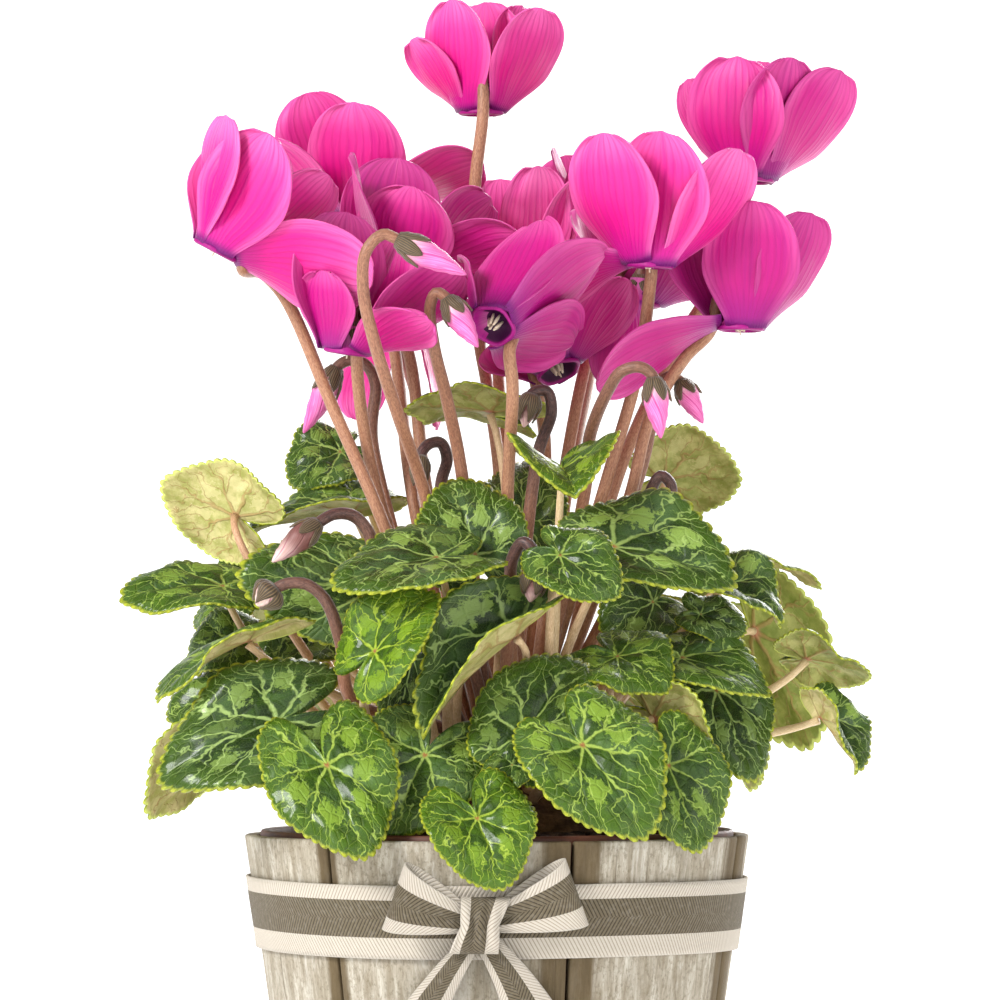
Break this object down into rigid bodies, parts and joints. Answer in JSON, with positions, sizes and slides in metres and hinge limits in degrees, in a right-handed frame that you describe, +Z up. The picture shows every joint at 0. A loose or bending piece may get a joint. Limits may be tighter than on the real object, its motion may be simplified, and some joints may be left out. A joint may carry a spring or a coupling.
{
  "type": "potted cyclamen",
  "caption": "Flowering cyclamen with patterned leaves in a thin pot, inside a whitewashed wooden cover pot with a woven ribbon and bow",
  "frame": {"origin": "centre of the cover pot's underside, on the surface it stands on", "axes": "+Z up along the pot's axis and the plant's height; the bow faces -Y; +X is to the right of someone who looks at the bow"},
  "size_m": [0.2389, 0.2097, 0.4164],
  "materials": {
    "whitewashed_wood": "matt whitewash over weathered grey-brown boards",
    "woven_ribbon": "herringbone tape, cream edges and a taupe middle",
    "terracotta_plastic": "satin",
    "potting_soil": "crumbly and matt",
    "tuber_skin": "corky and matt",
    "leaf_tissue": "waxy satin, with pale veins and a light edge",
    "stem_tissue": "satin with a fine bloom",
    "petal_tissue": "soft satin with fine lengthwise veins"
  },
  "bodies": {
    "root": {"pot_bottom_board": "whitewashed_wood", "pot_board_1": "whitewashed_wood", "pot_board_2": "whitewashed_wood", "pot_board_3": "whitewashed_wood", "pot_board_4": "whitewashed_wood", "pot_board_5": "whitewashed_wood", "pot_board_6": "whitewashed_wood", "ribbon_band": "woven_ribbon", "ribbon_bow": "woven_ribbon", "nursery_pot": "terracotta_plastic", "soil": "potting_soil", "tuber": "tuber_skin", "leaves_left_top": "leaf_tissue", "leaves_left_tall": "leaf_tissue", "leaves_left_long": "leaf_tissue", "leaves_left_edge": "leaf_tissue", "leaves_left_silver": "leaf_tissue", "leaf_left_large": "leaf_tissue", "leaves_left_low": "leaf_tissue", "leaf_front_left": "leaf_tissue", "leaves_front_olive": "leaf_tissue", "leaves_front_over_rim": "leaf_tissue", "leaf_front_folded": "leaf_tissue", "leaf_front_bright": "leaf_tissue", "leaf_front_shiny": "leaf_tissue", "leaves_middle": "leaf_tissue", "leaves_behind_stems": "leaf_tissue", "leaves_mid_winged": "leaf_tissue", "leaf_right_large": "leaf_tissue", "leaf_right_backlit": "leaf_tissue", "leaves_right_silver": "leaf_tissue", "leaves_right_dark": "leaf_tissue", "leaves_front_right_bright": "leaf_tissue", "leaves_right_edge": "leaf_tissue", "leaves_right_low": "leaf_tissue", "leaf_front_right_large": "leaf_tissue", "leaf_front_right_low": "leaf_tissue", "leaves_back_left": "leaf_tissue", "leaves_back_middle": "leaf_tissue", "leaves_back_right": "leaf_tissue", "bloom_left": "petal_tissue", "bloom_left_front": "petal_tissue", "stems_left": "stem_tissue", "bloom_left_open": "petal_tissue", "bloom_left_back": "petal_tissue", "bloom_low_back": "petal_tissue", "bloom_top": "petal_tissue", "stems_left_back": "stem_tissue", "bloom_centre": "petal_tissue", "stems_front": "stem_tissue", "bloom_right": "petal_tissue", "bloom_far_right": "petal_tissue", "stems_right": "stem_tissue", "bloom_right_top": "petal_tissue", "bloom_right_inner": "petal_tissue", "bloom_right_back": "petal_tissue", "bloom_centre_back": "petal_tissue", "bloom_centre_low": "petal_tissue", "stems_right_back": "stem_tissue", "stems_low": "stem_tissue"}
  },
  "joints": []
}
